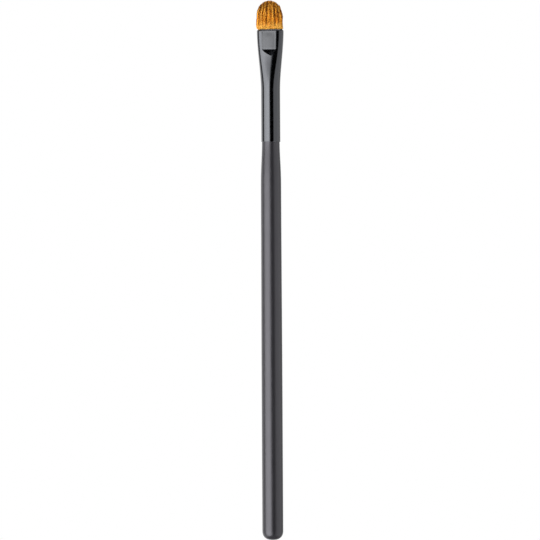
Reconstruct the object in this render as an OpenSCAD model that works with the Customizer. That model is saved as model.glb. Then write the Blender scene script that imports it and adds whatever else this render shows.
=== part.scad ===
// A flat, dome-ended eyeshadow brush: a turned handle, a pressed metal ferrule and a tuft of hair.
// The brush stands on its own axis with its tuft up. Its head is wide along X, and its pressed flats face
// along Y. The origin is on the axis, at the middle of the straight grip that a stand holds.

/* [Handle] */
// Length of the handle from its rounded end to the edge of the ferrule
handle_length = 136.5; // [110:0.5:170]
// Radius of the straight grip next to the rounded end
grip_r = 3.58; // [3.3:0.02:4.4]
// Length of the straight grip
grip_length = 44.6; // [30:0.2:60]
// Height of the rounded end
butt_height = 3.4; // [2:0.1:5]
// Radius of the shaft where the neck starts to draw in
shaft_r = 3.48; // [3.2:0.01:4.2]
// Length over which the neck draws in to the ferrule
neck_length = 16; // [8:0.5:24]
// How far the edge of the ferrule stands out from the neck
edge_step = 0.25; // [0.05:0.01:0.35]
// Length of the tenon inside the ferrule
tenon_length = 15; // [11:0.5:17]
// Chamfer at the end of the tenon
tenon_chamfer = 0.4; // [0.2:0.05:0.8]

/* [Ferrule] */
// Length of the ferrule
ferrule_length = 38.5; // [34:0.5:46]
// Outer radius of the round tube
ferrule_r = 3.28; // [2.9:0.02:3.6]
// Wall of the ferrule
ferrule_wall = 0.35; // [0.28:0.01:0.45]
// Length of the ferrule that stays a round tube
tube_length = 17.5; // [14:0.5:20]
// Width of the oval mouth
mouth_width = 9.2; // [8:0.1:11]
// Length above the tube over which the oval thins and squares up
thinning_length = 16; // [12:0.5:20]
// Thickness that the oval mouth would have if it weren't pressed
oval_thickness = 5.2; // [5:0.1:6]
// Thickness across the pressed flats
pressed_thickness = 4.72; // [4:0.02:4.9]
// Length of the pressed flats, from the mouth down
flat_length = 6.85; // [4:0.05:8]
// Slope of the ramp below each flat, in degrees
ramp_angle = 13; // [10:0.5:25]
// Squareness of the oval mouth, where 2 is an ellipse
mouth_squareness = 2.6; // [2:0.05:2.8]
// How far the lip of the mouth turns in
lip_turn = 0.36; // [0.25:0.01:0.5]
// Height of the turned lip
lip_height = 0.65; // [0.5:0.05:1.2]
// Radius of the outer edge next to the handle
edge_r = 0.12; // [0.05:0.01:0.2]

/* [Tuft] */
// Length of the hair beyond the mouth
hair_length = 10; // [7:0.5:14]
// Height of the domed end of the tuft
dome_height = 5.65; // [4:0.05:6.5]
// Width of the tuft where it is fullest
tuft_width = 8.95; // [8.4:0.05:10.5]
// Thickness of the tuft where it is fullest
tuft_thickness = 4.6; // [4:0.1:5.2]
// Height above the mouth at which the tuft is fullest
flare_height = 1; // [0.8:0.1:2.2]
// How much shorter than the dome the shortest hairs are
tip_scatter = 0.3; // [0.1:0.05:0.6]
// Squareness of the tuft, where 2 is an ellipse
tuft_squareness = 2.4; // [2:0.05:2.8]
// Rings of hairs from the middle of the tuft to its rim
hair_rings = 8; // [8:1:9]

/* [Root] */
// Empty length between the tenon and the resin
air_gap = 2.5; // [1:0.1:3]
// Thickness of resin under the hair roots
resin_floor = 2.5; // [1.5:0.1:3.5]
// Depth of resin around the hair roots
resin_depth = 3.5; // [2:0.1:4]
// Thickness of the binding thread
thread_d = 0.35; // [0.2:0.01:0.45]
// Length over which the tied bundle spreads out to fill the ferrule
spread_length = 3; // [2:0.1:4]

/* [Clearances] */
// Gap for adhesive between the tenon and the bore
glue_gap = 0.08; // [0.05:0.01:0.12]
// Gap between the adhesive or the resin and the metal
film_gap = 0.01; // [0.005:0.005:0.02]
// Gap between the hair and what is round it
hair_gap = 0.08; // [0.05:0.01:0.12]

/* [Hidden] */
$fn = 96;

// Squareness of a circle
round_squareness = 2;
// Lean of the neck's curve towards the ferrule
neck_power = 1.25;
// Part of the outer lip's turn that the inner face makes
inner_lip_share = 0.55;
// Part of the tenon's length that the adhesive covers
glue_share = 0.9;
// Turns of the binding thread, and how far apart they lie in thread thicknesses
thread_turns = 3;
thread_pitch_share = 0.9;
// Sides of each hair, and its size within its own cell at its foot, at its first bend and at its last
hair_sides = 3;
hair_size_shares = [0.86, 0.84, 0.66];
// Where a hair's first bend lies on the flare, and its last between the first and its tip
first_bend_share = 0.45;
last_bend_share = 0.66;
// Hairs round the middle of the tuft, which reach its full height
middle_hairs = 6;
// How fast the tuft flares out of the mouth
flare_power = 3;
// Start of the series of chance numbers that the hairs' lengths take
hair_seed = 7;
// Depth of the hair's root face below the mouth
root_face_sink = 0.05;
// Steps along the rounded end, along each curve of the handle, along the cone, round the lip and along the bundle
butt_steps = 20;
taper_steps = 8;
neck_steps = 12;
cone_steps = 14;
lip_steps = 4;
bundle_steps = 4;
// Sides of the swelling oval, and of the thread's section
oval_sides = 56;
thread_sides = 24;
// Overrun of a cut, and how far a swelling form starts inside the plain one that it grows from
overrun = 1;
tuck = 0.01;

neck_r = ferrule_r - edge_step;
bore_r = ferrule_r - ferrule_wall;
tenon_r = bore_r - glue_gap;
taper_start = butt_height + grip_length;
neck_start = handle_length - neck_length;
grip_middle = butt_height + grip_length / 2;

// Heights inside the ferrule, from its lower edge
lip_start = ferrule_length - lip_height;
crease_z = ferrule_length - flat_length;
resin_z = tenon_length + air_gap;
root_z = resin_z + resin_floor;
resin_top = root_z + resin_depth;
thread_z = resin_top + hair_gap + thread_d / 2;
thread_top = thread_z + (thread_turns - 1) * thread_d * thread_pitch_share + thread_d / 2;
root_face_z = ferrule_length - root_face_sink;
// Radius of the tied roots: what the thread leaves of the ferrule's inside
root_r = form_size(thread_top, ferrule_wall, 0)[1] - thread_d - 2 * hair_gap;

// Value between a and b
function mix(a, b, share) = a + (b - a) * share;

// Smooth rise from 0 to 1
function ease(share) = let (s = min(1, max(0, share))) s * s * (3 - 2 * s);

function signed_power(value, power) = sign(value) * pow(abs(value), power);

// Point on a squared oval with size [half width, half thickness, squareness]
function oval_point(size, angle) = [
    size[0] * signed_power(cos(angle), 2 / size[2]),
    size[1] * signed_power(sin(angle), 2 / size[2])
];

// Point of the unit disc carried into a squared oval
function in_oval(point, size) = norm(point) * oval_point(size, atan2(point[1], point[0]));

// How far the outer lip has turned in at a height of the ferrule
function lip_at(z) = let (s = min(1, max(0, (z - lip_start) / lip_height))) lip_turn * (1 - sqrt(1 - s * s));

// Oval of the ferrule at a height, before pressing, drawn in by an inset and by a share of the lip's turn
function form_size(z, inset, lip_share) =
    let (widening = ease((z - tube_length) / (ferrule_length - tube_length)))
    let (thinning = ease((z - tube_length) / thinning_length))
    let (drawn = inset + lip_share * lip_at(z))
    [
        mix(ferrule_r, mouth_width / 2, widening) - drawn,
        mix(ferrule_r, oval_thickness / 2, thinning) - drawn,
        mix(round_squareness, mouth_squareness, thinning)
    ];

// Half thickness that the press leaves at a height
function pressed_half(z, inset, lip_share) =
    pressed_thickness / 2 + max(0, crease_z - z) * tan(ramp_angle) - inset - lip_share * lip_at(z);

// Heights of the rings of the swelling form, from inside the tube to a height at or above the mouth
function form_heights(end_z) = concat(
    [tube_length - tuck, for (i = [1:cone_steps]) mix(tube_length, lip_start, i / cone_steps)],
    [for (i = [1:lip_steps]) lip_start + lip_height * sin(90 * i / lip_steps)],
    end_z > ferrule_length ? [end_z] : []
);

// Solid skinned over rings of [height, oval size]
module loft(rings, sides) {
    last = (len(rings) - 1) * sides;
    points = [for (ring = rings, j = [0:sides - 1]) concat(oval_point(ring[1], 360 * j / sides), ring[0])];
    walls = [
        for (i = [0:len(rings) - 2], j = [0:sides - 1])
        let (a = i * sides + j, b = i * sides + (j + 1) % sides)
        each [[a, a + sides, b], [b, a + sides, b + sides]]
    ];
    base = [for (j = [1:sides - 2]) [0, j, j + 1]];
    top = [for (j = [1:sides - 2]) [last, last + j + 1, last + j]];
    polyhedron(points, concat(walls, base, top), convexity = 4);
}

// Side profile of the press: flats at the mouth and the ramps below them
module press(inset, lip_share, end_z) {
    ramp_z = tube_length;
    profile = concat(
        [[pressed_half(ramp_z, inset, lip_share), ramp_z], [pressed_half(crease_z, inset, lip_share), crease_z]],
        [
            for (i = [0:lip_steps])
            let (z = lip_start + lip_height * sin(90 * i / lip_steps))
            [pressed_half(z, inset, lip_share), z]
        ],
        end_z > ferrule_length ? [[pressed_half(ferrule_length, inset, lip_share), end_z]] : []
    );
    mirrored = [for (i = [len(profile) - 1:-1:0]) [-profile[i][0], profile[i][1]]];
    foot = [[-pressed_half(ramp_z, inset, 0), -overrun], [pressed_half(ramp_z, inset, 0), -overrun]];
    rotate([90, 0, 90])
        linear_extrude(height = mouth_width + 2 * overrun, center = true)
            polygon(concat(foot, profile, mirrored));
}

// The swelling oval of the ferrule with its pressed flats
module pressed_form(inset, lip_share, end_z) {
    intersection() {
        loft([
            for (z = form_heights(end_z))
            [z, form_size(z, inset + (z < tube_length ? tuck : 0), lip_share)]
        ], oval_sides);
        press(inset, lip_share, end_z);
    }
}

// Sets a piece on the brush's axis, at a height above the tip of the handle
module on_axis(height) {
    translate([0, 0, height - grip_middle])
        children();
}

module handle() {
    butt = [
        for (i = [0:butt_steps])
        let (angle = 90 * i / butt_steps)
        [grip_r * sin(angle), butt_height * (1 - cos(angle))]
    ];
    taper = [
        for (i = [0:taper_steps])
        [mix(grip_r, shaft_r, ease(i / taper_steps)), mix(taper_start, neck_start, i / taper_steps)]
    ];
    neck = [
        for (i = [1:neck_steps])
        let (share = i / neck_steps)
        [mix(shaft_r, neck_r, ease(pow(share, neck_power))), mix(neck_start, handle_length, share)]
    ];
    tenon_end = handle_length + tenon_length;
    tenon = [
        [tenon_r, handle_length],
        [tenon_r, tenon_end - tenon_chamfer],
        [tenon_r - tenon_chamfer, tenon_end],
        [0, tenon_end]
    ];
    color([0.17, 0.17, 0.18])
        on_axis(0)
            rotate_extrude()
                polygon(concat(butt, taper, neck, tenon));
}

module ferrule() {
    color([0.1, 0.1, 0.11])
        on_axis(handle_length)
            difference() {
                union() {
                    rotate_extrude()
                        polygon(concat(
                            [[0, 0]],
                            [
                                for (angle = [-90:30:0])
                                [ferrule_r - edge_r + edge_r * cos(angle), edge_r + edge_r * sin(angle)]
                            ],
                            [[ferrule_r, tube_length], [0, tube_length]]
                        ));
                    pressed_form(0, 1, ferrule_length);
                }
                translate([0, 0, -overrun])
                    cylinder(r = bore_r, h = tube_length + overrun);
                pressed_form(ferrule_wall, inner_lip_share, ferrule_length + overrun);
            }
}

// Size of the hair bundle inside the ferrule: tied round at the root, spread out to the walls above
function bundle_size(z) =
    let (inset = ferrule_wall + hair_gap)
    let (form = form_size(z, inset, inner_lip_share))
    let (spread = ease((z - thread_top) / spread_length))
    [
        mix(root_r, form[0], spread),
        mix(root_r, min(form[1], pressed_half(z, inset, inner_lip_share)), spread),
        mix(round_squareness, form[2], spread)
    ];

// Size of the tuft at a height above the mouth
function tuft_size(rise) =
    let (mouth = bundle_size(ferrule_length))
    let (full = 1 - pow(1 - min(1, max(0, rise / flare_height)), flare_power))
    [
        mix(mouth[0], tuft_width / 2, full),
        mix(mouth[1], tuft_thickness / 2, full),
        mix(mouth[2], tuft_squareness, full)
    ];

// The root face is a web of three-sided cells in rings, and one hair grows from each cell
function web_index(ring, step) = ring == 0 ? 0 : 1 + 3 * ring * (ring - 1) + step % (6 * ring);

function web_point(ring, step) =
    ring == 0 ? [0, 0] : ring / hair_rings * [cos(60 * step / ring), sin(60 * step / ring)];

// Corners of every cell as [ring, step], anticlockwise from above
function web_cells() = [
    for (ring = [1:hair_rings], sector = [0:5])
    let (outer = sector * ring, inner = sector * (ring - 1))
    each [
        for (k = [0:ring - 1]) [[ring, outer + k], [ring, outer + k + 1], [ring - 1, inner + k]],
        for (k = [0:1:ring - 2]) [[ring - 1, inner + k], [ring, outer + k + 1], [ring - 1, inner + k + 1]]
    ]
];

// Corners of a hair's section at a height above the mouth, within its cell
function hair_ring(corners, middle, size_share, rise) = [
    for (corner = corners)
    concat(in_oval(mix(middle, corner, size_share), tuft_size(rise)), ferrule_length + rise)
];

// Points of one hair, which ends a little short of the dome: its foot, its two bends and its tip
function hair_points(cell, short) =
    let (corners = [for (c = cell) web_point(c[0], c[1])])
    let (middle = (corners[0] + corners[1] + corners[2]) / hair_sides)
    let (tip = hair_length - dome_height * (1 - sqrt(1 - middle * middle)) - short)
    let (first_bend = flare_height * first_bend_share)
    let (last_bend = mix(first_bend, tip, last_bend_share))
    concat(
        hair_ring(corners, middle, hair_size_shares[0], -root_face_sink),
        hair_ring(corners, middle, hair_size_shares[1], first_bend),
        hair_ring(corners, middle, hair_size_shares[2], last_bend),
        [concat(in_oval(middle, tuft_size(tip)), ferrule_length + tip)]
    );

// Triangles between two rings of a hair or a cell, facing out
function band(lower, upper) = [
    for (k = [0:hair_sides - 1])
    let (n = (k + 1) % hair_sides)
    each [[lower[k], upper[k], lower[n]], [lower[n], upper[k], upper[n]]]
];

module hair_tuft() {
    sides = 6 * hair_rings;
    heights = [
        root_z,
        for (i = [0:bundle_steps]) mix(thread_top, crease_z, i / bundle_steps),
        for (i = [1:bundle_steps - 1]) mix(crease_z, root_face_z, i / bundle_steps)
    ];
    rows = len(heights);
    bundle = [
        for (z = heights, j = [0:sides - 1])
        concat(oval_point(bundle_size(z), 360 * j / sides), z)
    ];
    web = [
        for (ring = [0:hair_rings], step = [0:max(0, 6 * ring - 1)])
        concat(in_oval(web_point(ring, step), tuft_size(-root_face_sink)), root_face_z)
    ];
    cells = web_cells();
    scatter = rands(0, tip_scatter, len(cells), hair_seed);
    hairs = [
        for (i = [0:len(cells) - 1])
        each hair_points(cells[i], i < middle_hairs ? 0 : scatter[i])
    ];
    web_start = len(bundle);
    hair_start = web_start + len(web);
    hair_size = 3 * hair_sides + 1;
    rim_start = web_start + web_index(hair_rings, 0);
    walls = [
        for (i = [0:rows - 1], j = [0:sides - 1])
        let (a = i * sides + j, b = i * sides + (j + 1) % sides)
        let (upper = i < rows - 1 ? (i + 1) * sides : rim_start)
        let (c = upper + j, d = upper + (j + 1) % sides)
        each [[a, c, b], [b, c, d]]
    ];
    base = [for (j = [1:sides - 2]) [0, j, j + 1]];
    growth = [
        for (i = [0:len(cells) - 1])
        let (first = hair_start + i * hair_size)
        let (corners = [for (c = cells[i]) web_start + web_index(c[0], c[1])])
        let (foot = [for (k = [0:hair_sides - 1]) first + k])
        let (first_bend = [for (k = foot) k + hair_sides])
        let (last_bend = [for (k = first_bend) k + hair_sides])
        let (tip = first + hair_size - 1)
        each concat(
            band(corners, foot),
            band(foot, first_bend),
            band(first_bend, last_bend),
            [for (k = [0:hair_sides - 1]) [last_bend[k], tip, last_bend[(k + 1) % hair_sides]]]
        )
    ];
    color([0.82, 0.52, 0.18])
        on_axis(handle_length)
            polyhedron(concat(bundle, web, hairs), concat(walls, base, growth), convexity = 10);
}

module resin_plug() {
    inset = ferrule_wall + film_gap;
    color([0.86, 0.7, 0.36])
        on_axis(handle_length)
            difference() {
                loft([
                    for (i = [0:bundle_steps])
                    let (z = mix(resin_z, resin_top, i / bundle_steps))
                    [z, form_size(z, inset, 0)]
                ], oval_sides);
                translate([0, 0, root_z - hair_gap])
                    cylinder(r = root_r + hair_gap, h = resin_depth + hair_gap + overrun);
            }
}

module binding_thread() {
    color([0.9, 0.88, 0.8])
        on_axis(handle_length)
            rotate_extrude()
                for (turn = [0:thread_turns - 1])
                    translate([root_r + hair_gap + thread_d / 2, thread_z + turn * thread_d * thread_pitch_share])
                            circle(d = thread_d, $fn = thread_sides);
}

module tenon_glue() {
    color([0.93, 0.9, 0.78])
        on_axis(handle_length)
            translate([0, 0, film_gap])
                rotate_extrude()
                    translate([tenon_r + film_gap, 0])
                        square([glue_gap - 2 * film_gap, tenon_length * glue_share]);
}

handle();
ferrule();
hair_tuft();
resin_plug();
binding_thread();
tenon_glue();
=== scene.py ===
"""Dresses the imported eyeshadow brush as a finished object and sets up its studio.

The brush stands on its own axis with its tuft up. Its head is wide along X and its pressed flats face along Y.
Sizes are in millimetres. The origin is on the axis, at the middle of the straight grip.
"""

import logging
import math
from abc import ABC, abstractmethod
from collections.abc import Callable, Sequence
from dataclasses import dataclass
from enum import Enum
from functools import cached_property

import bmesh
import bpy
import numpy as np
from mathutils import Matrix, Vector


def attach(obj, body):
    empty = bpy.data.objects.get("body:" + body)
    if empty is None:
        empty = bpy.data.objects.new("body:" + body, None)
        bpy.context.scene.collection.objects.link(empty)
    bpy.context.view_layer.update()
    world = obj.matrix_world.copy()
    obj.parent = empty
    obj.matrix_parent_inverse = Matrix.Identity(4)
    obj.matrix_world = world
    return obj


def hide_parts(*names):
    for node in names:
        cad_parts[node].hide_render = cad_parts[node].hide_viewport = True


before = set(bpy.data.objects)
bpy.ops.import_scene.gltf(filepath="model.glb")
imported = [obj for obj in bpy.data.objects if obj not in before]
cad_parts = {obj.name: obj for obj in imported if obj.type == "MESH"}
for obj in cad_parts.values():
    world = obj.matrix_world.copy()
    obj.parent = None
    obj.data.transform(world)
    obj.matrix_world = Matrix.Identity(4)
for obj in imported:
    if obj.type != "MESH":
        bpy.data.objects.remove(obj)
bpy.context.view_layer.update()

LOG = logging.getLogger("brush")
MM = 0.001
ROOT = "root"

# Heights of the joints between the sub-assemblies, above the origin
HANDLE_TIP = -25.7
FERRULE_EDGE = 110.8

# Squareness of a true oval, angles that a search starts from, and how often it halves its range
TRUE_OVAL = 2.0
SEARCH_ANGLES = 1801
HALVINGS = 40

Colour = tuple[float, float, float]
Point = tuple[float, float, float]
Span = tuple[float, float]
Piece = bpy.types.Object
Socket = bpy.types.NodeSocket


class Slot(Enum):
    """The record's material slots."""

    HANDLE = "handle_finish"
    FERRULE = "ferrule_lacquer"
    HAIR = "hair"
    RESIN = "resin"
    THREAD = "thread"
    ADHESIVE = "adhesive"


class HairLayer(Enum):
    """Pieces of the tuft, each from one share of its radius to another."""

    HEART = ("hair_heart", 0.0, 0.55)
    MIDDLE = ("hair_middle", 0.55, 0.8)
    RIM = ("hair_rim", 0.8, 2.0)


def mix(low: float, high: float, share: float) -> float:
    """Returns the value a share of the way from low to high."""
    return low + (high - low) * share


def ease(share: float) -> float:
    """Returns a smooth rise from 0 to 1, flat outside that range."""
    inside = np.clip(share, 0.0, 1.0)
    return inside * inside * (3 - 2 * inside)


def signed_power(value: float, power: float) -> float:
    """Returns a power of a value's size, with the value's sign."""
    return np.sign(value) * np.abs(value) ** power


def oval_point(wide: float, thick: float, squareness: float, turn: float) -> tuple[float, float]:
    """Returns the place at an angle of an oval with these half sizes and squareness."""
    power = 2 / squareness
    return wide * signed_power(np.cos(turn), power), thick * signed_power(np.sin(turn), power)


def last_that_holds(inside: float, outside: float, holds: Callable[[float], bool]) -> float:
    """Halves a range until it finds the last value at which something holds.

    Args:
        inside: Value at which it holds.
        outside: Value at which it doesn't.
        holds: Tells whether it holds at a value.

    Returns:
        The last value at which it holds.
    """
    for _ in range(HALVINGS):
        middle = (inside + outside) / 2
        inside, outside = (middle, outside) if holds(middle) else (inside, middle)
    return inside


def make_piece(name: str, points: Sequence[Point], faces: Sequence[Sequence[int]]) -> Piece:
    """Makes a smooth-shaded mesh object.

    Args:
        name: Name of the piece.
        points: Its vertices in millimetres.
        faces: Vertex numbers of its faces.

    Returns:
        The object, linked to the scene.
    """
    mesh = bpy.data.meshes.new(name)
    mesh.from_pydata([(x * MM, y * MM, z * MM) for x, y, z in points], [], faces)
    mesh.shade_smooth()
    piece = bpy.data.objects.new(name, mesh)
    bpy.context.scene.collection.objects.link(piece)
    return piece


def join_rings(rings: Sequence[Sequence[Point]]) -> tuple[list[Point], list[tuple[int, ...]]]:
    """Skins closed rings of equally many points, one above the other.

    Args:
        rings: The rings, each anticlockwise from above.

    Returns:
        The points and the faces between neighbouring rings.
    """
    sides = len(rings[0])
    faces = [
        (row * sides + k, row * sides + (k + 1) % sides, (row + 1) * sides + (k + 1) % sides, (row + 1) * sides + k)
        for row in range(len(rings) - 1)
        for k in range(sides)
    ]
    return [point for ring in rings for point in ring], faces


def clean_mesh(piece: Piece, sharp_angle: float) -> None:
    """Merges points that meet, drops faces without area and marks the sharp edges.

    Args:
        piece: The object whose mesh is cleaned.
        sharp_angle: Least angle in degrees between two faces at a sharp edge.
    """
    touching = 1e-3 * MM
    work = bmesh.new()
    work.from_mesh(piece.data)
    bmesh.ops.remove_doubles(work, verts=work.verts, dist=touching)
    bmesh.ops.dissolve_degenerate(work, edges=work.edges, dist=touching)
    bmesh.ops.recalc_face_normals(work, faces=work.faces)
    for edge in work.edges:
        edge.smooth = len(edge.link_faces) == 2 and edge.calc_face_angle() < math.radians(sharp_angle)
    work.to_mesh(piece.data)
    work.free()


def mark_points(piece: Piece, name: str, values: Sequence[float]) -> None:
    """Gives each point of a mesh a value that its finish reads by name."""
    holder = piece.data.attributes.new(name, "FLOAT", "POINT")
    holder.data.foreach_set("value", np.asarray(values, dtype=np.float32))


class NodeBench:
    """Short calls that lay out the nodes of a material or a world."""

    def __init__(self, tree: bpy.types.NodeTree) -> None:
        """Keeps the tree that the calls add to."""
        self.tree = tree

    def add(self, kind: str, inputs: dict[str, object] | None = None, **settings: object) -> bpy.types.Node:
        """Adds a node.

        Args:
            kind: The node's type.
            inputs: Values or sockets for its inputs, by name or number.
            settings: Its own settings.

        Returns:
            The node.
        """
        node = self.tree.nodes.new(kind)
        for key, value in settings.items():
            setattr(node, key, value)
        for key, value in (inputs or {}).items():
            self.feed(node.inputs[key], value)
        return node

    def feed(self, target: Socket, value: object) -> None:
        """Fills an input.

        Args:
            target: The input.
            value: A socket that is linked to it, or a value or opaque colour that it is set to.
        """
        if isinstance(value, Socket):
            self.tree.links.new(value, target)
        else:
            target.default_value = (*value, 1) if target.type == "RGBA" else value

    def compute(self, operation: str, *values: object) -> Socket:
        """Adds one step of arithmetic and returns its result."""
        return self.add("ShaderNodeMath", dict(enumerate(values)), operation=operation).outputs[0]

    def spread(self, value: object, start: float, end: float, low: float, high: float) -> Socket:
        """Carries a value smoothly from the range between start and end to the one between low and high."""
        inputs = {"Value": value, "From Min": start, "From Max": end, "To Min": low, "To Max": high}
        return self.add("ShaderNodeMapRange", inputs, interpolation_type="SMOOTHSTEP").outputs["Result"]

    def noise(self, grain: Point, detail: float) -> Socket:
        """Adds noise in the object's own space.

        Args:
            grain: Size of its grain along each axis, in millimetres.
            detail: How many finer levels it has.

        Returns:
            The noise's socket, from 0 to 1.
        """
        place = self.add("ShaderNodeTexCoord").outputs["Object"]
        scaled = self.add("ShaderNodeMapping", {"Vector": place, "Scale": [1 / (size * MM) for size in grain]})
        inputs = {"Vector": scaled.outputs[0], "Scale": 1.0, "Detail": detail}
        return self.add("ShaderNodeTexNoise", inputs).outputs[0]

    def average(self, first: object, second: object, share: float) -> Socket:
        """Returns the first value by its share and the second by the rest."""
        return self.compute("MULTIPLY_ADD", first, share, self.compute("MULTIPLY", second, 1 - share))

    def blend(self, share: object, low: object, high: object) -> Socket:
        """Mixes two colours.

        Args:
            share: Share of the second colour, from 0 to 1.
            low: The first colour.
            high: The second colour.

        Returns:
            The mixed colour's socket.
        """
        node = self.add("ShaderNodeMix", data_type="RGBA")
        for key, value in {"Factor_Float": share, "A_Color": low, "B_Color": high}.items():
            self.feed(next(s for s in node.inputs if s.identifier == key), value)
        return next(s for s in node.outputs if s.identifier == "Result_Color")

    def tint(self, base: object, factor: object) -> Socket:
        """Multiplies a colour by a number and returns the colour."""
        node = self.add("ShaderNodeVectorMath", {0: base, "Scale": factor}, operation="SCALE")
        return node.outputs["Vector"]

    def bump(self, height: object, depth: float, strength: float) -> Socket:
        """Adds a relief of some depth in millimetres, shown at some strength, and returns its normals."""
        inputs = {"Height": height, "Distance": depth * MM, "Strength": strength}
        return self.add("ShaderNodeBump", inputs).outputs[0]

    def seen(self) -> Socket:
        """Returns 1 for camera and transmission rays and 0 for all others."""
        path = self.add("ShaderNodeLightPath").outputs
        return self.compute("MAXIMUM", path["Is Transmission Ray"], path["Is Camera Ray"])


class Finish(ABC):
    """A surface that a sub-assembly is dressed in."""

    def material(self, name: str) -> bpy.types.Material:
        """Makes the finish's material.

        Args:
            name: Name of the material.

        Returns:
            The material.
        """
        made = bpy.data.materials.new(name)
        made.use_nodes = True
        bench = NodeBench(made.node_tree)
        shader = made.node_tree.nodes["Principled BSDF"]
        for key, value in self.sockets(bench).items():
            bench.feed(shader.inputs[key], value)
        return made

    @abstractmethod
    def sockets(self, bench: NodeBench) -> dict[str, object]:
        """Returns what the shader's sockets hold, by name."""


@dataclass(frozen=True)
class SoftTouchFinish(Finish):
    """Matte rubbery coat of the handle, with a fine even grain."""

    pit_colour: Colour = (0.0085, 0.0082, 0.0098)
    coat_colour: Colour = (0.0145, 0.0140, 0.0165)
    low_roughness: float = 0.32
    high_roughness: float = 0.37
    ior: float = 1.76
    shine_tint: Colour = (0.94, 0.92, 1.0)
    sheen: float = 0.12
    sheen_roughness: float = 0.35
    grain: float = 0.14
    grain_share: float = 0.6
    cloud: float = 7.0
    noise_range: Span = (0.3, 0.7)
    depth: float = 0.012
    bump: float = 0.3

    def sockets(self, bench: NodeBench) -> dict[str, object]:
        """Gives the coat's grainy colour, roughness and bump.

        Args:
            bench: The material's bench.

        Returns:
            What the shader's sockets hold.
        """
        grain = bench.noise((self.grain,) * 3, detail=2.0)
        cloud = bench.noise((self.cloud,) * 3, detail=1.0)
        share = bench.average(grain, cloud, self.grain_share)
        return {
            "Base Color": bench.blend(share, self.pit_colour, self.coat_colour),
            "Roughness": bench.spread(share, *self.noise_range, self.high_roughness, self.low_roughness),
            "IOR": self.ior,
            "Specular Tint": self.shine_tint,
            "Sheen Weight": self.sheen,
            "Sheen Roughness": self.sheen_roughness,
            "Normal": bench.bump(grain, self.depth, self.bump),
        }


@dataclass(frozen=True)
class LacquerFinish(Finish):
    """Gloss lacquer over dark metal, with faint lines from drawing and soft marks from the press."""

    low_colour: Colour = (0.042, 0.045, 0.052)
    high_colour: Colour = (0.060, 0.063, 0.071)
    roughness: float = 0.14
    coat_roughness: float = 0.05
    coat_ior: float = 1.5
    pressed_roughness: float = 0.42
    pressed_coat_roughness: float = 0.16
    line: float = 0.22
    line_length: float = 30.0
    line_share: float = 0.5
    mark: float = 1.3
    mark_range: Span = (0.3, 0.7)
    mark_roughness: float = 0.21
    depth: float = 0.02
    bump: float = 0.15

    def sockets(self, bench: NodeBench) -> dict[str, object]:
        """Gives the dark metal under its clear coat, duller where it is pressed.

        Args:
            bench: The material's bench.

        Returns:
            What the shader's sockets hold.
        """
        lines = bench.noise((self.line, self.line, self.line_length), detail=1.0)
        marks = bench.noise((self.mark,) * 3, detail=3.0)
        shade = bench.average(lines, marks, self.line_share)
        pressed = bench.add("ShaderNodeAttribute", attribute_name="pressed").outputs["Fac"]
        gloss = bench.spread(marks, *self.mark_range, self.roughness, self.mark_roughness)
        pressed_gloss = bench.compute("MULTIPLY", pressed, self.pressed_roughness)
        return {
            "Base Color": bench.blend(shade, self.low_colour, self.high_colour),
            "Metallic": 1.0,
            "Roughness": bench.compute("MAXIMUM", gloss, pressed_gloss),
            "Coat Weight": 1.0,
            "Coat Roughness": bench.spread(pressed, 0.0, 1.0, self.coat_roughness, self.pressed_coat_roughness),
            "Coat IOR": self.coat_ior,
            "Normal": bench.bump(marks, self.depth, self.bump),
        }


@dataclass(frozen=True)
class HairFinish(Finish):
    """Natural golden brown hair, whose tone differs from hair to hair and darkens to the tip."""

    tones: tuple[tuple[float, Colour], ...] = (
        (0.0, (0.20, 0.055, 0.004)),
        (0.5, (0.82, 0.30, 0.018)),
        (0.75, (1.0, 0.46, 0.045)),
        (1.0, (1.0, 0.60, 0.12)),
    )
    # Pale gold near the roots: partly the hair's own paler roots, partly painted glow that stands in for light
    # thrown up by the ferrule's lip and lifts the shade there
    pale_root_glow_colour: Colour = (1.0, 0.565, 0.105)
    pale_root_glow_share: float = 0.85
    pale_root_glow_span: Span = (0.02, 0.4)
    tip_light: float = 0.8
    tip_span: Span = (0.5, 1.0)
    tip_contrast: float = 1.5
    contrast_span: Span = (0.4, 0.9)
    roughness: float = 0.4
    shine: float = 0.25
    shine_tint: Colour = (1.0, 0.82, 0.55)

    def sockets(self, bench: NodeBench) -> dict[str, object]:
        """Gives the colour by hair and by height along it.

        Args:
            bench: The material's bench.

        Returns:
            What the shader's sockets hold.
        """
        tone = bench.add("ShaderNodeAttribute", attribute_name="tone").outputs["Fac"]
        rise = bench.add("ShaderNodeAttribute", attribute_name="rise").outputs["Fac"]
        middle = 0.5
        contrast = bench.spread(rise, *self.contrast_span, 1.0, self.tip_contrast)
        tone = bench.compute("MULTIPLY_ADD", bench.compute("SUBTRACT", tone, middle), contrast, middle)
        ramp = bench.add("ShaderNodeValToRGB", {"Fac": tone})
        stops = ramp.color_ramp.elements
        for place, _ in self.tones[1:-1]:
            stops.new(place)
        for stop, (_, colour) in zip(stops, self.tones):
            stop.color = (*colour, 1)
        # Near the mouth the colour is blended into the pale root gold: part real paler roots, part painted glow from
        # the ferrule's lip
        root = bench.spread(rise, *self.pale_root_glow_span, self.pale_root_glow_share, 0.0)
        tip = bench.spread(rise, *self.tip_span, 1.0, self.tip_light)
        return {
            "Base Color": bench.tint(bench.blend(root, ramp.outputs[0], self.pale_root_glow_colour), tip),
            "Roughness": self.roughness,
            "Specular IOR Level": self.shine,
            "Specular Tint": self.shine_tint,
        }


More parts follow.
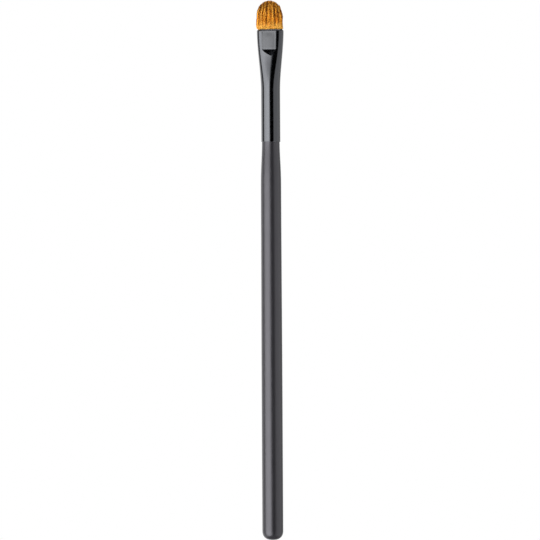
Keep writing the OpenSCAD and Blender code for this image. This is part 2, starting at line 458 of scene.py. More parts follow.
@dataclass(frozen=True)
class UnevenFinish(Finish):
    """Surface whose colour and relief follow one noise."""

    low_colour: Colour
    high_colour: Colour
    roughness: float
    grain: Point
    detail: float
    depth: float
    bump: float

    def relief(self, bench: NodeBench, tones: Socket) -> Socket:
        """Returns the relief, which is the noise of the tones unless a finish has its own."""
        return tones

    def sockets(self, bench: NodeBench) -> dict[str, object]:
        """Gives the uneven colour and the relief.

        Args:
            bench: The material's bench.

        Returns:
            What the shader's sockets hold.
        """
        tones = bench.noise(self.grain, self.detail)
        return {
            "Base Color": bench.blend(tones, self.low_colour, self.high_colour),
            "Roughness": self.roughness,
            "Normal": bench.bump(self.relief(bench, tones), self.depth, self.bump),
        }


@dataclass(frozen=True)
class ResinFinish(UnevenFinish):
    """Cured amber resin with small bubbles."""

    low_colour: Colour = (0.62, 0.40, 0.14)
    high_colour: Colour = (0.80, 0.58, 0.26)
    roughness: float = 0.22
    grain: Point = (1.6, 1.6, 1.6)
    detail: float = 2.0
    depth: float = 0.03
    bump: float = 0.6
    bubble: Point = (0.35, 0.35, 0.35)
    bubble_range: Span = (0.6, 0.75)

    def relief(self, bench: NodeBench, tones: Socket) -> Socket:
        """Returns the relief of the bubbles."""
        return bench.spread(bench.noise(self.bubble, detail=1.0), *self.bubble_range, 0.0, 1.0)


@dataclass(frozen=True)
class ThreadFinish(UnevenFinish):
    """Waxed cotton thread with its twist."""

    low_colour: Colour = (0.62, 0.58, 0.46)
    high_colour: Colour = (0.86, 0.83, 0.72)
    roughness: float = 0.55
    grain: Point = (0.3, 0.3, 0.05)
    detail: float = 2.0
    depth: float = 0.03
    bump: float = 0.7


@dataclass(frozen=True)
class AdhesiveFinish(UnevenFinish):
    """Dried wood adhesive, slightly lumpy."""

    low_colour: Colour = (0.74, 0.68, 0.48)
    high_colour: Colour = (0.88, 0.84, 0.68)
    roughness: float = 0.5
    grain: Point = (0.8, 0.8, 0.8)
    detail: float = 3.0
    depth: float = 0.02
    bump: float = 0.5


@dataclass(frozen=True)
class FloorFinish(Finish):
    """Pale floor that glows for the camera and is mirrored darker than it is."""

    colour: float = 0.8
    glow: float = 0.75
    mirrored: float = 0.2

    def sockets(self, bench: NodeBench) -> dict[str, object]:
        """Gives the floor's grey and its glow.

        Args:
            bench: The material's bench.

        Returns:
            What the shader's sockets hold.
        """
        glossy = bench.add("ShaderNodeLightPath").outputs["Is Glossy Ray"]
        seen = bench.compute("MAXIMUM", bench.seen(), bench.compute("MULTIPLY", glossy, self.mirrored))
        return {
            "Base Color": bench.spread(glossy, 0.0, 1.0, self.colour, self.colour * self.mirrored),
            "Roughness": 1.0,
            "Specular IOR Level": 0.0,
            "Emission Color": (1, 1, 1),
            "Emission Strength": bench.compute("MULTIPLY", seen, self.glow),
        }


class SubAssembly(ABC):
    """Pieces that are built together and share a finish."""

    slot: Slot
    finish: Finish
    stands_for: str

    @abstractmethod
    def build(self) -> list[Piece]:
        """Builds the pieces' meshes in place and returns them."""

    def dress(self, pieces: list[Piece]) -> None:
        """Gives the pieces their finish and sets them on the frame.

        Args:
            pieces: The pieces that build gave.
        """
        material = self.finish.material(self.slot.value)
        for piece in pieces:
            piece.data.materials.append(material)
            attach(piece, ROOT)
            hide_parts(self.stands_for)

    def install(self) -> list[Piece]:
        """Builds and dresses the pieces.

        Returns:
            The pieces.
        """
        pieces = self.build()
        self.dress(pieces)
        return pieces


@dataclass
class Handle(SubAssembly):
    """The turned stick, from its rounded end to the tenon inside the ferrule."""

    grip_radius: float = 3.58
    grip_length: float = 44.6
    butt_height: float = 3.4
    butt_squareness: float = 2.5
    shaft_radius: float = 3.48
    neck_radius: float = 3.03
    neck_length: float = 16.0
    neck_power: float = 1.25
    length: float = 136.5
    tenon_radius: float = 2.85
    tenon_length: float = 15.0
    tenon_chamfer: float = 0.4
    sides: int = 192
    butt_rings: int = 28
    grip_rings: int = 12
    taper_rings: int = 24
    neck_rings: int = 32
    sharp_angle: float = 25.0
    slot: Slot = Slot.HANDLE
    finish: Finish = SoftTouchFinish()
    stands_for: str = "handle"

    def profile(self) -> list[tuple[float, float]]:
        """Draws the handle's outline.

        Returns:
            Radius and height of each turned ring, from the rounded end up.
        """
        grip_end = self.butt_height + self.grip_length
        neck_start = self.length - self.neck_length
        end = self.length + self.tenon_length
        rings = []
        for turn in np.linspace(0, math.pi / 2, self.butt_rings + 1)[1:]:
            drop, radius = oval_point(self.butt_height, self.grip_radius, self.butt_squareness, turn)
            rings.append((radius, self.butt_height - drop))
        for low, high, start, stop, count, power in (
            (self.grip_radius, self.grip_radius, self.butt_height, grip_end, self.grip_rings, 1.0),
            (self.grip_radius, self.shaft_radius, grip_end, neck_start, self.taper_rings, 1.0),
            (self.shaft_radius, self.neck_radius, neck_start, self.length, self.neck_rings, self.neck_power),
        ):
            for share in np.arange(1, count + 1) / count:
                rings.append((mix(low, high, ease(share**power)), mix(start, stop, share)))
        return rings + [
            (self.tenon_radius, self.length),
            (self.tenon_radius, end - self.tenon_chamfer),
            (self.tenon_radius - self.tenon_chamfer, end),
        ]

    def build(self) -> list[Piece]:
        """Turns the profile round the axis and closes both ends.

        Returns:
            The handle's one piece.
        """
        turns = np.linspace(0, 2 * math.pi, self.sides, endpoint=False)
        rings = [
            [(radius * math.cos(turn), radius * math.sin(turn), HANDLE_TIP + height) for turn in turns]
            for radius, height in self.profile()
        ]
        points, faces = join_rings(rings)
        tip, top = len(points), len(points) + 1
        points += [(0, 0, HANDLE_TIP), (0, 0, HANDLE_TIP + self.length + self.tenon_length)]
        last = len(rings) * self.sides - self.sides
        faces += [(tip, (k + 1) % self.sides, k) for k in range(self.sides)]
        faces += [(top, last + k, last + (k + 1) % self.sides) for k in range(self.sides)]
        piece = make_piece("handle_turned", points, faces)
        clean_mesh(piece, self.sharp_angle)
        return [piece]


@dataclass(frozen=True)
class FerruleForm:
    """Shape of the ferrule by height above its lower edge: a tube that swells to an oval and is pressed flat."""

    length: float = 38.5
    tube_radius: float = 3.28
    wall: float = 0.35
    tube_length: float = 17.5
    mouth_width: float = 9.2
    thinning_length: float = 16.0
    oval_thickness: float = 5.2
    pressed_thickness: float = 4.76
    press_tilt: float = 0.008
    flat_length: float = 6.85
    ramp_angle: float = 9.4
    ramp_twist: float = 0.035
    twist_reach: Span = (-1.2, 0.8)
    squareness: float = 2.6
    lip_turn: float = 0.36
    lip_height: float = 0.65
    inner_lip_share: float = 0.55

    @property
    def crease(self) -> float:
        """Height of the fold between ramp and flat."""
        return self.length - self.flat_length

    @property
    def lip_start(self) -> float:
        """Height at which the lip starts to turn in."""
        return self.length - self.lip_height

    def lip_at(self, height: float) -> float:
        """Returns how far the outer lip has turned in at a height."""
        turned = np.clip((height - self.lip_start) / self.lip_height, 0.0, 1.0)
        return self.lip_turn * (1 - math.sqrt(1 - turned * turned))

    def oval(self, height: float, inset: float, lip_share: float) -> tuple[float, float, float]:
        """Gives the oval before pressing.

        Args:
            height: Height above the lower edge.
            inset: How far the oval is drawn in.
            lip_share: Part of the lip's turn that it makes.

        Returns:
            Half width, half thickness and squareness.
        """
        swell = ease((height - self.tube_length) / (self.length - self.tube_length))
        thinning = ease((height - self.tube_length) / self.thinning_length)
        drawn = inset + lip_share * self.lip_at(height)
        return (
            mix(self.tube_radius, self.mouth_width / 2, swell) - drawn,
            mix(self.tube_radius, self.oval_thickness / 2, thinning) - drawn,
            mix(TRUE_OVAL, self.squareness, thinning),
        )

    def pressed_half(self, height: float, inset: float, lip_share: float) -> float:
        """Returns the half thickness that the press leaves at a height."""
        ramp = max(0.0, self.crease - height) * math.tan(math.radians(self.ramp_angle))
        return self.pressed_thickness / 2 + ramp - inset - lip_share * self.lip_at(height)

    def slant(self, x: np.ndarray | float, height: float) -> np.ndarray | float:
        """Returns how much deeper than an even press this one goes at x: its ramps are twisted, its flats tilted."""
        twisted = self.ramp_twist * max(0.0, self.crease - height) * np.clip(x, *self.twist_reach)
        return twisted - self.press_tilt * x

    def cut(self, height: float, inset: float, lip_share: float) -> tuple[float, float, float]:
        """Finds where the press cuts the oval on its front.

        Args:
            height: Height above the lower edge.
            inset: How far the oval is drawn in.
            lip_share: Part of the lip's turn that it makes.

        Returns:
            The deepest bite, and the angles at which the cut starts on the right and ends on the left.
        """
        wide, thick, squareness = self.oval(height, inset, lip_share)
        plane = self.pressed_half(height, inset, lip_share)

        def bite(turn: np.ndarray | float) -> np.ndarray | float:
            """Returns how far the oval stands out of the press at an angle."""
            x, y = oval_point(wide, thick, squareness, turn)
            return y - plane + self.slant(x, height)

        turns = np.linspace(0, math.pi, SEARCH_ANGLES)
        bites = bite(turns)
        peak = float(turns[bites.argmax()])
        right = left = peak
        if bites.max() > 0:
            right, left = (last_that_holds(peak, side, lambda turn: bite(turn) > 0) for side in (0.0, math.pi))
        return float(bites.max()), right, left

    @cached_property
    def ramp_foot(self) -> float:
        """Height at which the ramps run out on the oval."""
        return last_that_holds(self.crease, self.tube_length, lambda height: self.cut(height, 0, 1)[0] > 0)


@dataclass
class Ferrule(SubAssembly):
    """The pressed metal tube between handle and hair."""

    form: FerruleForm = FerruleForm()
    edge_radius: float = 0.12
    bow: float = 0.055
    bow_share: float = 0.82
    dish: float = 0.03
    border_share: float = 0.25
    rim_rise: float = 0.35
    rim_fade: float = 2.4
    blend_in: float = 0.5
    flat_depth: float = 0.06
    flat_columns: int = 40
    side_columns: int = 72
    edge_rings: int = 7
    tube_shares: tuple[float, ...] = (0.25, 0.5, 0.75)
    swell_rings: int = 44
    ramp_rings: int = 44
    flat_rings: int = 60
    lip_rings: int = 14
    sharp_angle: float = 7.0
    slot: Slot = Slot.FERRULE
    finish: Finish = LacquerFinish()
    stands_for: str = "ferrule"

    def relief(self, share: float, height: float) -> float:
        """Gives the shallow relief that the press leaves on a flat: a bowed middle and a slightly raised border.

        Args:
            share: Place across the flat, from -1 at one edge to 1 at the other.
            height: Height above the lower edge.

        Returns:
            How far the surface stands out.
        """
        form = self.form
        if height <= form.crease or height >= form.lip_start:
            return 0.0
        bowed = self.bow * max(0.0, 1 - (share / self.bow_share) ** 2)
        rise_start = form.lip_start - self.rim_rise
        if height < rise_start:
            depth = ((height - form.crease) / (rise_start - form.crease)) ** 2
        else:
            depth = (form.lip_start - height) / self.rim_rise
        border = ease((1 - abs(share)) / self.border_share)
        fade = ease((height - form.crease) / self.blend_in) * ease((form.lip_start - height) / self.rim_fade)
        return bowed * fade - self.dish * depth * border

    def ring(self, height: float, inset: float, lip_share: float) -> list[Point]:
        """Lays out one ring of the skin.

        Its points follow the edges of the flats, so that these stay crisp.

        Args:
            height: Height above the lower edge.
            inset: How far the ring is drawn in.
            lip_share: Part of the lip's turn that it makes.

        Returns:
            The ring's points, anticlockwise from above.
        """
        form = self.form
        wide, thick, squareness = form.oval(height, inset, lip_share)
        bite, right, left = form.cut(max(height, form.ramp_foot), inset, lip_share)
        plane = form.pressed_half(height, inset, lip_share)
        side = [
            oval_point(wide, thick, squareness, turn)
            for turn in np.linspace(-right, math.pi - left, self.side_columns + 1)
        ]
        front_right, front_left = side[0], (-side[-1][0], -side[-1][1])
        front = []
        for k in range(1, self.flat_columns):
            x, y = (mix(low, high, k / self.flat_columns) for low, high in zip(front_left, front_right))
            share = mix(-1, 1, k / self.flat_columns)
            if height > form.ramp_foot and bite > 0:
                y = form.slant(x, height) - plane
            front.append((x, y - (0.0 if inset else self.relief(share, height))))
        half = front + side
        return [(x, y, FERRULE_EDGE + height) for x, y in half + [(-x, -y) for x, y in half]]

    def heights(self) -> list[float]:
        """Spaces the rings above the tube, closest where the ramps run out.

        Returns:
            The rings' heights above the lower edge.
        """
        form, foot = self.form, self.form.ramp_foot
        swell = np.linspace(form.tube_length, foot, self.swell_rings)[:-1]
        ramp = foot + (form.crease - foot) * np.linspace(0, 1, self.ramp_rings) ** 2
        flat = np.linspace(form.crease, form.lip_start, self.flat_rings)[1:]
        lip = form.lip_start + form.lip_height * np.sin(np.linspace(0, math.pi / 2, self.lip_rings)[1:])
        return [float(height) for height in np.concatenate([swell, ramp, flat, lip])]

    def build(self) -> list[Piece]:
        """Skins the outside, the lip, the inside and the rounded lower edge as one closed shell.

        Returns:
            The ferrule's one piece.
        """
        form, heights = self.form, self.heights()
        tube = [(form.tube_length * share, 0.0) for share in self.tube_shares]
        edge = [
            (self.edge_radius * (1 - math.cos(turn)), self.edge_radius * (1 - math.sin(turn)))
            for turn in np.linspace(0, math.pi / 2, self.edge_rings)
        ]
        outside = [self.ring(height, inset, 1) for height, inset in edge + tube]
        outside += [self.ring(height, 0, 1) for height in heights]
        inside = [self.ring(height, form.wall, form.inner_lip_share) for height in reversed(heights)]
        inside += [self.ring(height, form.wall, 0) for height, _ in reversed(tube)] + [self.ring(0, form.wall, 0)]
        points, faces = join_rings(outside + inside + outside[:1])
        piece = make_piece("ferrule_pressed", points, faces)
        on_flat = [
            abs(abs(y) - form.pressed_thickness / 2) < self.flat_depth and z - FERRULE_EDGE >= form.crease
            for _, y, z in points
        ]
        mark_points(piece, "pressed", on_flat)
        clean_mesh(piece, self.sharp_angle)
        return [piece]


@dataclass(frozen=True)
class Wave:
    """A sideways wave that the strands of one group share, and that grows along them."""

    size: float
    length: float
    size_range: Span = (0.4, 1.0)
    length_range: Span = (0.8, 1.25)
    depth_share: float = 0.6
    growth: float = 1.6


@dataclass
class HairTuft(SubAssembly):
    """The hair, as fine tapered strands in locks, and the bundle that they come from inside the ferrule."""

    form: FerruleForm = FerruleForm()
    length: float = 10.12
    dome_height: float = 5.65
    width: float = 9.16
    thickness: float = 4.6
    squareness: float = 2.4
    flare_height: float = 0.6
    gap: float = 0.08
    lean: float = 0.24
    lean_reach: float = 1.2
    seed: int = 11

    strands: int = 5200
    strand_radius: float = 0.045
    strand_jitter: float = 0.9
    strand_shortfall: float = 0.3
    thickness_range: Span = (0.8, 1.15)
    taper: tuple[tuple[float, float], ...] = ((0.0, 0.85), (0.3, 1.0), (0.8, 0.85), (1.0, 0.35))
    foot: float = -1.2
    low_rises: tuple[float, ...] = (-0.4, 0.0, 0.35, 0.8, 1.4)
    high_shares: tuple[float, ...] = (0.16, 0.32, 0.48, 0.64, 0.79, 0.91, 1.0)
    curl_in: float = 0.2
    curl_power: float = 4.5

    locks: int = 170
    lock_jitter: float = 0.5
    lock_shortfall: float = 0.12
    lock_depth_share: float = 0.4
    gather_range: Span = (0.18, 0.42)
    gather_growth: float = 1.4
    pinch: float = 0.12
    pinch_reach: float = 0.9
    wisps: int = 500
    lock_wave: Wave = Wave(0.22, 4.4)
    wisp_wave: Wave = Wave(0.07, 3.6)
    strand_wave: Wave = Wave(0.04, 3.2)

    band: float = 1.32
    band_start: float = 0.08
    band_weight: float = 0.58
    lock_weight: float = 0.2
    lock_evenness: float = 0.6
    wisp_weight: float = 0.26
    wisp_evenness: float = 0.8
    strand_weight: float = 0.22
    darkening: float = 0.23

    root_radius: float = 2.1
    root_height: float = 20.0
    tie_top: float = 25.1
    spread_length: float = 3.0
    bundle_rings: int = 16
    bundle_overlap: float = 0.2
    flutes: int = 36
    flute_shape: tuple[float, ...] = (1.0, 0.985, 0.97, 0.985)
    bundle_tone: Span = (2.0, 1.7)
    bundle_rise: float = 0.2
    slot: Slot = Slot.HAIR
    finish: Finish = HairFinish()
    stands_for: str = "hair_tuft"

    def section(self, rise: np.ndarray) -> tuple[np.ndarray, np.ndarray, np.ndarray]:
        """Gives the tuft's section.

        Args:
            rise: Heights above the mouth.

        Returns:
            Half width, half thickness and squareness at each height.
        """
        form = self.form
        mouth = (form.length, form.wall + self.gap, form.inner_lip_share)
        wide, thick, squareness = form.oval(*mouth)
        thick = min(thick, form.pressed_half(*mouth))
        full = 1 - (1 - np.clip(rise / self.flare_height, 0, 1)) ** 3
        return (
            mix(wide, self.width / 2, full),
            mix(thick, self.thickness / 2, full),
            mix(squareness, self.squareness, full),
        )

    def in_section(self, spots: np.ndarray, rise: np.ndarray) -> tuple[np.ndarray, np.ndarray]:
        """Returns where spots of the unit disc lie along X and Y in the tuft's section at some heights."""
        wide, thick, squareness = self.section(rise)
        return oval_point(np.abs(spots) * wide, np.abs(spots) * thick, squareness, np.angle(spots))

    @staticmethod
    def scatter(count: int, jitter: float, chance: np.random.Generator) -> np.ndarray:
        """Spreads spots evenly over the unit disc.

        Args:
            count: How many spots.
            jitter: How far each is moved, as a share of their spacing.
            chance: Source of chance.

        Returns:
            The spots, as complex numbers.
        """
        order, golden_angle = np.arange(count), math.pi * (3 - math.sqrt(5))
        spacing = math.sqrt(math.pi / count) * jitter
        move_x, move_y = chance.uniform(-spacing, spacing, (2, count))
        spots = np.sqrt((order + 0.5) / count) * np.exp(1j * order * golden_angle) + move_x + 1j * move_y
        return spots / np.maximum(np.abs(spots), 1.0)

    def nearest(self, spots: np.ndarray, middles: np.ndarray) -> np.ndarray:
        """Returns the number of the middle that lies nearest to each spot."""
        away = spots[:, None] - middles[None]
        return np.hypot(away.real, self.lock_depth_share * away.imag).argmin(1)

    def curled(self, spots: np.ndarray, along: np.ndarray | float) -> np.ndarray:
        """Returns spots of the disc, drawn in towards the strands' tips."""
        return spots * (1 - self.curl_in * np.abs(spots) ** 2 * along**self.curl_power)

    def strand_rises(
        self, spots: np.ndarray, lock: np.ndarray, chance: np.random.Generator
    ) -> tuple[np.ndarray, np.ndarray]:
        """Sets how high each strand reaches under the dome, and its points.

        Args:
            spots: Places of the strands in the disc.
            lock: The lock of each strand.
            chance: Source of chance.

        Returns:
            Heights of the points above the mouth, and the same as shares of each strand's height.
        """
        by_strand = self.strand_shortfall * chance.random(self.strands) ** 2
        short = by_strand + self.lock_shortfall * chance.random(self.locks)[lock]
        dome = self.dome_height * (1 - np.sqrt(1 - np.abs(self.curled(spots, 1.0)) ** 2))
        height = (self.length - dome - short)[:, None]
        low = np.array([self.foot, *self.low_rises])
        high = low[-1] + (height - low[-1]) * np.array(self.high_shares)
        rise = np.concatenate([np.tile(low, (self.strands, 1)), high], axis=1)
        return rise, np.clip(rise / height, 0, 1)

    def tones(
        self, lock_x: np.ndarray, lock: np.ndarray, wisp: np.ndarray, chance: np.random.Generator
    ) -> np.ndarray:
        """Mixes the tone of each strand: bands across the tuft, and differences by lock, wisp and strand.

        Args:
            lock_x: Place of each lock along X.
            lock: The lock of each strand.
            wisp: The wisp of each strand.
            chance: Source of chance.

        Returns:
            The tones, from 0 for dark to 1 for light.
        """
        swing = 0.5 + 0.5 * np.cos(2 * math.pi * (lock_x - self.band_start) / self.band)
        by_lock = self.lock_weight * chance.beta(self.lock_evenness, self.lock_evenness, self.locks)
        by_wisp = self.wisp_weight * chance.beta(self.wisp_evenness, self.wisp_evenness, self.wisps)
        by_strand = self.strand_weight * chance.random(self.strands)
        return (self.band_weight * swing + by_lock)[lock] + by_wisp[wisp] + by_strand - self.darkening

    def strand_paths(self) -> dict[str, np.ndarray]:
        """Grows every strand from inside the mouth to the dome.

        Returns:
            Each strand's points, radii, heights as shares of its length, tone and place in the disc.
        """
        chance = np.random.default_rng(self.seed)
        spots = self.scatter(self.strands, self.strand_jitter, chance)
        middles = self.scatter(self.locks, self.lock_jitter, chance)
        lock = self.nearest(spots, middles)
        wisp = self.nearest(spots, self.scatter(self.wisps, self.lock_jitter, chance))
        rise, along = self.strand_rises(spots, lock, chance)

        x, y = self.in_section(self.curled(spots[:, None], along), rise)
        middle_x, middle_y = self.in_section(self.curled(middles[lock][:, None], along), rise)
        gather = chance.uniform(*self.gather_range, self.locks)[lock][:, None] * ease(along * self.gather_growth)
        pull = gather + self.pinch * np.clip(1 - np.abs(rise) / self.pinch_reach, 0, 1)
        x, y = mix(x, middle_x, pull), mix(y, middle_y, pull)
        for wave, count, pick in (
            (self.lock_wave, self.locks, lock),
            (self.wisp_wave, self.wisps, wisp),
            (self.strand_wave, self.strands, np.arange(self.strands)),
        ):
            reach = wave.size * chance.uniform(*wave.size_range, count)[pick][:, None] * ease(along * wave.growth)
            beat = 2 * math.pi * rise / (wave.length * chance.uniform(*wave.length_range, count)[pick][:, None])
            start = chance.uniform(0, 2 * math.pi, (2, count))[:, pick]
            x = x + reach * np.sin(beat + start[0][:, None])
            y = y + wave.depth_share * reach * np.sin(beat + start[1][:, None])
        x = x - self.lean * ease(rise / self.lean_reach)

        thickness = self.strand_radius * chance.uniform(*self.thickness_range, self.strands)[:, None]
        lock_x, _ = self.in_section(middles, np.full(self.locks, self.length / 2))
        return {
            "points": np.stack([x, y, FERRULE_EDGE + self.form.length + rise], axis=2),
            "radii": thickness * np.interp(along, *zip(*self.taper)),
            "along": along,
            "tone": self.tones(lock_x, lock, wisp, chance),
            "radius": np.abs(spots),
        }

    @staticmethod
    def strand_faces(count: int, rows: int, sides: int) -> list[list[int]]:
        """Lists the faces of strands whose points follow each other ring by ring.

        Args:
            count: How many strands.
            rows: Rings of a strand.
            sides: Sides of a strand.

        Returns:
            The walls of all strands, then the caps at their feet and at their tips.
        """
        first = np.arange(count)[:, None, None] * rows * sides
        row, side = np.arange(rows - 1)[:, None] * sides, np.arange(sides)
        low, low_next = first + (row + side), first + (row + (side + 1) % sides)
        walls = np.stack([low, low_next, low_next + sides, low + sides], axis=3).reshape(-1, 4)
        foot = first[:, 0, 0, None] + np.arange(sides)[None, ::-1]
        tip = first[:, 0, 0, None] + (rows - 1) * sides + np.arange(sides)[None]
        return walls.tolist() + foot.tolist() + tip.tolist()

    def strand_piece(self, layer: HairLayer, paths: dict[str, np.ndarray]) -> Piece:
        """Skins the strands of one layer.

        Args:
            layer: The layer.
            paths: What strand_paths gave.

        Returns:
            The piece, with its tones, heights and a map in which each strand has its own cell.
        """
        name, inner, outer = layer.value
        chosen = (paths["radius"] >= inner) & (paths["radius"] < outer)
        points, radii = paths["points"][chosen], paths["radii"][chosen]
        count, rows, sides = len(points), points.shape[1], 3
        turns = 2 * math.pi * np.arange(sides) / sides
        around = np.stack([np.cos(turns), np.sin(turns), np.zeros(sides)], axis=1)
        skin = points[:, :, None, :] + radii[:, :, None, None] * around
        piece = make_piece(name, skin.reshape(-1, 3).tolist(), self.strand_faces(count, rows, sides))
        mark_points(piece, "tone", np.repeat(paths["tone"][chosen], rows * sides))
        mark_points(piece, "rise", np.repeat(paths["along"][chosen].ravel(), sides))
        layout = self.strand_map(count, rows, sides).astype(np.float32)
        piece.data.uv_layers.new(name="OFBake").data.foreach_set("uv", layout.ravel())
        return piece

    @staticmethod
    def strand_map(count: int, rows: int, sides: int) -> np.ndarray:
        """Lays each strand out in a cell of its own.

        Args:
            count: How many strands.
            rows: Rings of a strand.
            sides: Sides of a strand.

        Returns:
            A place in the map for each corner of each face.
        """
        margin = 0.1
        cap_shape, cap_rises = np.array([[0.45, 0.0], [0.55, 0.0], [0.5, 0.02]]), (0.04, 0.96)
        across = math.ceil(math.sqrt(count))
        cell = 1 / across
        corner = np.stack([np.arange(count) % across, np.arange(count) // across], axis=1) * cell
        side, row = np.meshgrid(np.arange(sides), np.arange(rows - 1))
        steps = np.array([[0, 0], [1, 0], [1, 1], [0, 1]])
        place = np.stack([side, row], axis=2)[:, :, None, :] + steps
        share = margin + (1 - 2 * margin) * place / np.array([sides, rows - 1])
        walls = corner[:, None, None, None, :] + cell * share
        caps = [corner[:, None, :] + cell * (cap_shape + np.array([0.0, rise])) for rise in cap_rises]
        return np.concatenate([walls.reshape(-1, 2), *[cap.reshape(-1, 2) for cap in caps]])

    def bundle(self) -> Piece:
        """Builds the tied bundle inside the ferrule, fluted by its hairs.

        Returns:
            The bundle's piece.
        """
        form = self.form
        inset, lip_share = form.wall + self.gap, form.inner_lip_share
        flutes = self.flute_shape * self.flutes
        turns = np.linspace(0, 2 * math.pi, len(flutes), endpoint=False)
        top = form.length + self.foot + self.bundle_overlap
        rings = []
        for height in (self.root_height, *np.linspace(self.tie_top, top, self.bundle_rings)):
            spread = ease((height - self.tie_top) / self.spread_length)
            wide, thick, squareness = form.oval(height, inset, lip_share)
            deepest = form.slant(form.twist_reach[1], height)
            thick = min(thick, form.pressed_half(height, inset, lip_share) - deepest)
            wide, thick = mix(self.root_radius, wide, spread), mix(self.root_radius, thick, spread)
            squareness = mix(TRUE_OVAL, squareness, spread)
            rings.append([
                (*oval_point(wide * flute, thick * flute, squareness, turn), FERRULE_EDGE + height)
                for turn, flute in zip(turns, flutes)
            ])
        points, faces = join_rings(rings)
        last = len(points) - len(flutes)
        faces += [tuple(reversed(range(len(flutes)))), tuple(range(last, len(points)))]
        piece = make_piece("hair_bundle", points, faces)
        tones = np.random.default_rng(self.seed).beta(*self.bundle_tone, len(flutes))
        mark_points(piece, "tone", np.tile(tones, len(rings)))
        mark_points(piece, "rise", np.full(len(points), self.bundle_rise))
        return piece

    def build(self) -> list[Piece]:
        """Builds the strands of each layer and the bundle below them."""
        paths = self.strand_paths()
        return [self.strand_piece(layer, paths) for layer in HairLayer] + [self.bundle()]


@dataclass
class RootSet:
    """What holds handle and hair inside the ferrule: these CAD nodes keep their shape and get a finish."""

    finishes: tuple[tuple[str, Slot, Finish], ...] = (
        ("resin_plug", Slot.RESIN, ResinFinish()),
        ("binding_thread", Slot.THREAD, ThreadFinish()),
        ("tenon_glue", Slot.ADHESIVE, AdhesiveFinish()),
    )

    def install(self) -> list[Piece]:
        """Dresses the nodes where they stand.

        Returns:
            The nodes.
        """
        nodes = []
        for name, slot, finish in self.finishes:
            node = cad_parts[name]
            if not node.material_slots:
                node.data.materials.append(None)
            for holder in node.material_slots:
                holder.material = finish.material(slot.value)
            nodes.append(node)
        return nodes


@dataclass(frozen=True)
class Panel:
    """A soft light as a window of directions, in degrees.

    Each window has four values: where it starts, where it is full, where it stops being full and where it ends.
    """

    azimuth: tuple[float, float, float, float]
    elevation: tuple[float, float, float, float]
    radiance: float
    both_sides: bool = False


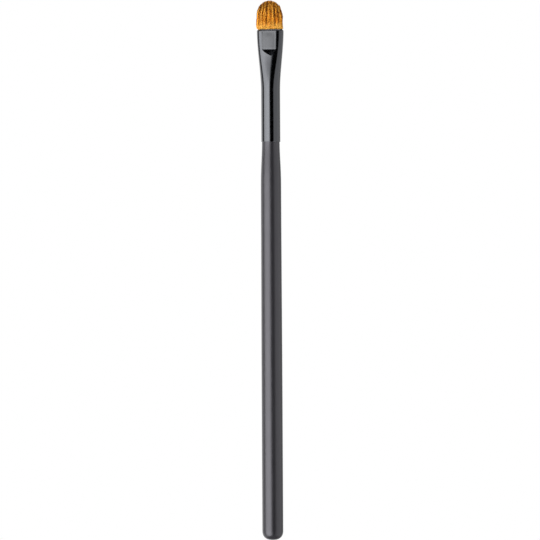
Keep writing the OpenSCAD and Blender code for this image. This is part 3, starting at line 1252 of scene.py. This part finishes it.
@dataclass
class Studio:
    """Camera, soft panels round the brush and the pale floor."""

    turn: float = 10.75
    roll: float = 0.3
    distance: float = 1200.0
    frame_height: float = 185.22
    aim_height: float = 66.88
    aim_side: float = -0.5
    clip: Span = (0.01, 20.0)
    floor_radius: float = 40.0
    floor_sides: int = 128
    floor_drop: float = 40.0
    floor_finish: Finish = FloorFinish()
    panels: tuple[Panel, ...] = (
        Panel((-90, -80, -21, -7), (-62, -45, 6, 15), 3.1),
        Panel((-78, -35, -21, -7), (-62, -45, 6, 15), 0.66),
        Panel((31, 39, 104, 124), (-62, -45, 8, 34), 0.88),
        Panel((-110, -70, 70, 110), (38, 46, 64, 76), 2.45),
        Panel((-110, -70, 70, 110), (-72, -64, -56, -48), 3.9),
        Panel((94, 106, 200, 201), (-91, -90, 90, 91), 0.15, True),
        Panel((-201, -200, -117, -96), (-91, -90, 90, 91), 0.85),
        Panel((112, 140, 200, 201), (-91, -90, 90, 91), 0.35),
    )

    @property
    def towards_camera(self) -> Vector:
        """Direction from the brush to the camera."""
        return Vector((math.sin(math.radians(self.turn)), -math.cos(math.radians(self.turn)), 0))

    @property
    def camera_right(self) -> Vector:
        """Direction to the right of the picture."""
        return Vector((math.cos(math.radians(self.turn)), math.sin(math.radians(self.turn)), 0))

    def camera(self) -> None:
        """Sets up the camera level with the middle of the picture."""
        data = bpy.data.cameras.new("camera")
        data.lens = data.sensor_width * self.distance / self.frame_height
        data.clip_start, data.clip_end = self.clip
        camera = bpy.data.objects.new("camera", data)
        aim = Vector((0, 0, self.aim_height)) + self.camera_right * self.aim_side
        camera.location = (aim + self.towards_camera * self.distance) * MM
        facing = (-self.towards_camera).to_track_quat("-Z", "Y").to_matrix()
        camera.rotation_euler = (facing @ Matrix.Rotation(math.radians(-self.roll), 3, "Z")).to_euler()
        bpy.context.scene.collection.objects.link(camera)
        bpy.context.scene.camera = camera

    def panel_light(self, bench: NodeBench) -> Socket:
        """Adds up the light that the panels send from each direction.

        Args:
            bench: Bench of the world's nodes.

        Returns:
            The light's socket.
        """
        way = bench.add("ShaderNodeTexCoord").outputs["Generated"]

        def along(direction: Vector) -> Socket:
            """Returns how far the way goes along a direction."""
            node = bench.add("ShaderNodeVectorMath", {0: way, 1: tuple(direction)}, operation="DOT_PRODUCT")
            return node.outputs["Value"]

        azimuth = bench.compute("ARCTAN2", along(self.camera_right), along(self.towards_camera))
        azimuth = bench.compute("DEGREES", azimuth)
        elevation = bench.compute("DEGREES", bench.compute("ARCSINE", along(Vector((0, 0, 1)))))
        either_side = bench.compute("ABSOLUTE", azimuth)
        light = 0.0
        for panel in self.panels:
            level = panel.radiance
            across = either_side if panel.both_sides else azimuth
            for value, (start, full, fading, end) in ((across, panel.azimuth), (elevation, panel.elevation)):
                level = bench.compute("MULTIPLY", level, bench.spread(value, start, full, 0.0, 1.0))
                level = bench.compute("MULTIPLY", level, bench.spread(value, fading, end, 1.0, 0.0))
            light = bench.compute("ADD", light, level)
        return light

    def world(self) -> None:
        """Lights the brush from the panels, on white for the camera."""
        world = bpy.data.worlds.new("studio")
        world.use_nodes = True
        bench = NodeBench(world.node_tree)
        background = world.node_tree.nodes["Background"]
        bench.feed(background.inputs["Color"], (1, 1, 1))
        bench.feed(background.inputs["Strength"], bench.compute("MAXIMUM", self.panel_light(bench), bench.seen()))
        bpy.context.scene.world = world

    def floor(self) -> None:
        """Lays the pale floor below the handle's rounded end."""
        turns = np.linspace(0, 2 * math.pi, self.floor_sides, endpoint=False)
        rim = [(self.floor_radius * math.cos(turn), self.floor_radius * math.sin(turn), 0) for turn in turns]
        floor = make_piece("floor", rim, [range(self.floor_sides)])
        floor.data.materials.append(self.floor_finish.material("floor"))
        floor.location.z = (HANDLE_TIP - self.floor_drop) * MM

    def build(self) -> None:
        """Sets up camera, light and floor."""
        self.camera()
        self.world()
        self.floor()
        bpy.context.scene.view_settings.view_transform = "Standard"


def main() -> None:
    """Builds the studio and the brush."""
    logging.basicConfig(level=logging.INFO, format="%(name)s: %(message)s")
    Studio().build()
    for group in (Handle(), Ferrule(), HairTuft(), RootSet()):
        for piece in group.install():
            LOG.info("%s: %d faces", piece.name, len(piece.data.polygons))


if __name__ == "__main__":
    main()
